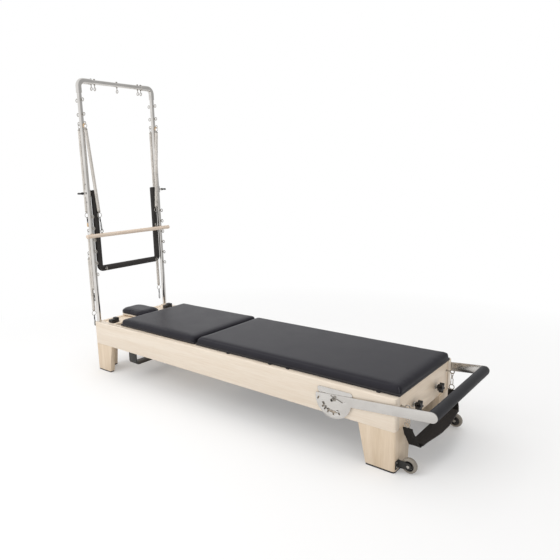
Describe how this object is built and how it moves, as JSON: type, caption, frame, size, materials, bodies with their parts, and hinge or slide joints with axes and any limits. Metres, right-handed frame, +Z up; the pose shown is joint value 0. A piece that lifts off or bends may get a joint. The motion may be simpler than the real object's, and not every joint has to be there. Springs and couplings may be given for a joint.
{
  "type": "pilates tower reformer",
  "caption": "Wooden pilates reformer with a tubular spring tower at its head end, a padded mat over the well, a sliding carriage, a notched footbar and hanging springs.",
  "frame": {"origin": "on the floor, at the middle of the overall length and width", "axes": "+X along the frame towards the foot end, +Y towards the far side, +Z up"},
  "size_m": [2.6051, 0.786, 2.09],
  "materials": {
    "maple": "clear satin lacquer over light maple",
    "foot_rubber": "matt moulded",
    "track_aluminium": "satin anodised",
    "black_nylon": "fine matt moulding",
    "black_steel": "satin black powder coat",
    "black_vinyl": "soft satin upholstery vinyl",
    "wrapped_board": "board wrapped in the upholstery vinyl",
    "roller_urethane": "smooth cast urethane",
    "plated_steel": "bright zinc plate",
    "strap_webbing": "woven webbing with a padded cover",
    "plate_steel": "satin laser-cut plate",
    "grip_foam": "closed-cell foam",
    "wheel_urethane": "clear cast tyre on a dark hub",
    "polished_steel": "polished tube",
    "dowel_wood": "clear lacquer over turned wood",
    "spring_steel": "bright nickel-plated wire"
  },
  "bodies": {
    "frame": {"side_rail_near": "maple", "side_rail_far": "maple", "head_board": "maple", "foot_board": "maple", "leg_head_near": "maple", "leg_head_far": "maple", "leg_foot_near": "maple", "leg_foot_far": "maple", "rubber_foot_head_near": "foot_rubber", "rubber_foot_head_far": "foot_rubber", "rubber_foot_foot_near": "foot_rubber", "rubber_foot_foot_far": "foot_rubber", "track_near": "track_aluminium", "track_far": "track_aluminium", "rope_cleat_near": "black_nylon", "rope_cleat_far": "black_nylon", "storage_cradle": "black_steel", "spring_bar": "plated_steel", "strap_anchor_near": "plated_steel", "strap_anchor_far": "plated_steel", "gear_plate_near": "plate_steel", "gear_plate_far": "plate_steel", "wheel_bracket_near": "black_steel", "wheel_bracket_far": "black_steel", "tower_post_near": "polished_steel", "tower_post_far": "polished_steel", "tower_top_bar": "polished_steel"},
    "footbar": {"footbar_arm_near": "plate_steel", "footbar_arm_far": "plate_steel", "footbar_tube": "plate_steel", "footbar_foam": "grip_foam"},
    "foot_strap": {"foot_strap": "strap_webbing"},
    "mat": {"mat_board": "wrapped_board", "mat_pad": "black_vinyl"},
    "carriage": {"carriage_frame": "maple", "carriage_pad": "black_vinyl", "headrest_hinge": "plated_steel"},
    "headrest": {"headrest_plate": "maple", "headrest_pad": "black_vinyl"},
    "push_bar_carrier": {"collar_near": "black_steel", "collar_far": "black_steel"},
    "push_bar": {"push_bar_tube": "polished_steel", "push_bar_foam": "grip_foam"},
    "roll_down": {"roll_down_bar": "dowel_wood", "roll_down_spring_near": "spring_steel", "roll_down_spring_far": "spring_steel"},
    "wheel_near": {"transport_wheel_near": "wheel_urethane"},
    "knob_near": {"star_knob_near": "black_nylon"},
    "pin_near": {"pull_pin_near": "black_nylon"},
    "arm_spring_near": {"arm_spring_near": "spring_steel"},
    "leg_spring_near": {"leg_spring_near": "spring_steel"},
    "roller_head_near": {"carriage_roller_head_near": "roller_urethane"},
    "roller_foot_near": {"carriage_roller_foot_near": "roller_urethane"},
    "wheel_far": {"transport_wheel_far": "wheel_urethane"},
    "knob_far": {"star_knob_far": "black_nylon"},
    "pin_far": {"pull_pin_far": "black_nylon"},
    "arm_spring_far": {"arm_spring_far": "spring_steel"},
    "leg_spring_far": {"leg_spring_far": "spring_steel"},
    "roller_head_far": {"carriage_roller_head_far": "roller_urethane"},
    "roller_foot_far": {"carriage_roller_foot_far": "roller_urethane"}
  },
  "joints": [
    {"name": "footbar_pivot", "type": "hinge", "parent": "frame", "child": "footbar", "pos_m": [0.78843, 0, 0.29], "axis": [0, -1, 0], "range_deg": [0, 88]},
    {"name": "foot_strap_swing", "type": "hinge", "parent": "frame", "child": "foot_strap", "pos_m": [1.13643, 0, 0.23425], "axis": [0, -1, 0], "range_deg": [0, 35]},
    {"name": "mat_lift", "type": "slide", "parent": "frame", "child": "mat", "axis": [0, 0, 1], "range_m": [0, 0.12]},
    {"name": "carriage_slide", "type": "slide", "parent": "frame", "child": "carriage", "axis": [1, 0, 0], "range_m": [-0.1, 0]},
    {"name": "headrest_tilt", "type": "hinge", "parent": "carriage", "child": "headrest", "pos_m": [-0.99457, 0, 0.3715], "axis": [0, 1, 0], "range_deg": [0, 22]},
    {"name": "push_bar_height", "type": "slide", "parent": "frame", "child": "push_bar_carrier", "axis": [0, 0, 1], "range_m": [-0.062, 0.062]},
    {"name": "push_bar_swing", "type": "hinge", "parent": "push_bar_carrier", "child": "push_bar", "pos_m": [-1.22957, 0, 1.307], "axis": [0, 1, 0], "range_deg": [0, 100]},
    {"name": "roll_down_swing", "type": "hinge", "parent": "frame", "child": "roll_down", "pos_m": [-1.19257, 0, 1.785], "axis": [0, -1, 0], "range_deg": [0, 60]},
    {"name": "wheel_near_spin", "type": "hinge", "parent": "frame", "child": "wheel_near", "pos_m": [1.15843, -0.294, 0.04], "axis": [0, 1, 0], "continuous": true},
    {"name": "knob_near_turn", "type": "hinge", "parent": "frame", "child": "knob_near", "pos_m": [1.10343, -0.137, 0.272], "axis": [1, 0, 0], "continuous": true},
    {"name": "pin_near_pull", "type": "slide", "parent": "push_bar_carrier", "child": "pin_near", "axis": [0, -1, 0], "range_m": [0, 0.008], "stiffness_N_per_m": 600},
    {"name": "arm_spring_near_swing", "type": "hinge", "parent": "frame", "child": "arm_spring_near", "pos_m": [-1.26657, -0.32, 1.785], "axis": [0, 1, 0], "range_deg": [0, 35]},
    {"name": "leg_spring_near_swing", "type": "hinge", "parent": "frame", "child": "leg_spring_near", "pos_m": [-1.28957, -0.32, 0.8735], "axis": [0, 1, 0], "range_deg": [0, 35]},
    {"name": "roller_head_near_spin", "type": "hinge", "parent": "carriage", "child": "roller_head_near", "pos_m": [-0.89957, -0.281, 0.2763], "axis": [0, 1, 0], "range_deg": [-245, 5]},
    {"name": "roller_foot_near_spin", "type": "hinge", "parent": "carriage", "child": "roller_foot_near", "pos_m": [-0.31557, -0.281, 0.2763], "axis": [0, 1, 0], "range_deg": [-245, 5]},
    {"name": "wheel_far_spin", "type": "hinge", "parent": "frame", "child": "wheel_far", "pos_m": [1.15843, 0.294, 0.04], "axis": [0, 1, 0], "continuous": true},
    {"name": "knob_far_turn", "type": "hinge", "parent": "frame", "child": "knob_far", "pos_m": [1.10343, 0.137, 0.272], "axis": [1, 0, 0], "continuous": true},
    {"name": "pin_far_pull", "type": "slide", "parent": "push_bar_carrier", "child": "pin_far", "axis": [0, 1, 0], "range_m": [0, 0.008], "stiffness_N_per_m": 600},
    {"name": "arm_spring_far_swing", "type": "hinge", "parent": "frame", "child": "arm_spring_far", "pos_m": [-1.26657, 0.32, 1.785], "axis": [0, 1, 0], "range_deg": [0, 35]},
    {"name": "leg_spring_far_swing", "type": "hinge", "parent": "frame", "child": "leg_spring_far", "pos_m": [-1.28957, 0.32, 0.957], "axis": [0, 1, 0], "range_deg": [0, 35]},
    {"name": "roller_head_far_spin", "type": "hinge", "parent": "carriage", "child": "roller_head_far", "pos_m": [-0.89957, 0.281, 0.2763], "axis": [0, 1, 0], "range_deg": [-245, 5]},
    {"name": "roller_foot_far_spin", "type": "hinge", "parent": "carriage", "child": "roller_foot_far", "pos_m": [-0.31557, 0.281, 0.2763], "axis": [0, 1, 0], "range_deg": [-245, 5]}
  ],
  "couplings": [
    {"joint": "roller_head_near_spin", "follows": "carriage_slide", "rad_per_m": 41.667},
    {"joint": "roller_head_far_spin", "follows": "carriage_slide", "rad_per_m": 41.667},
    {"joint": "roller_foot_near_spin", "follows": "carriage_slide", "rad_per_m": 41.667},
    {"joint": "roller_foot_far_spin", "follows": "carriage_slide", "rad_per_m": 41.667}
  ]
}
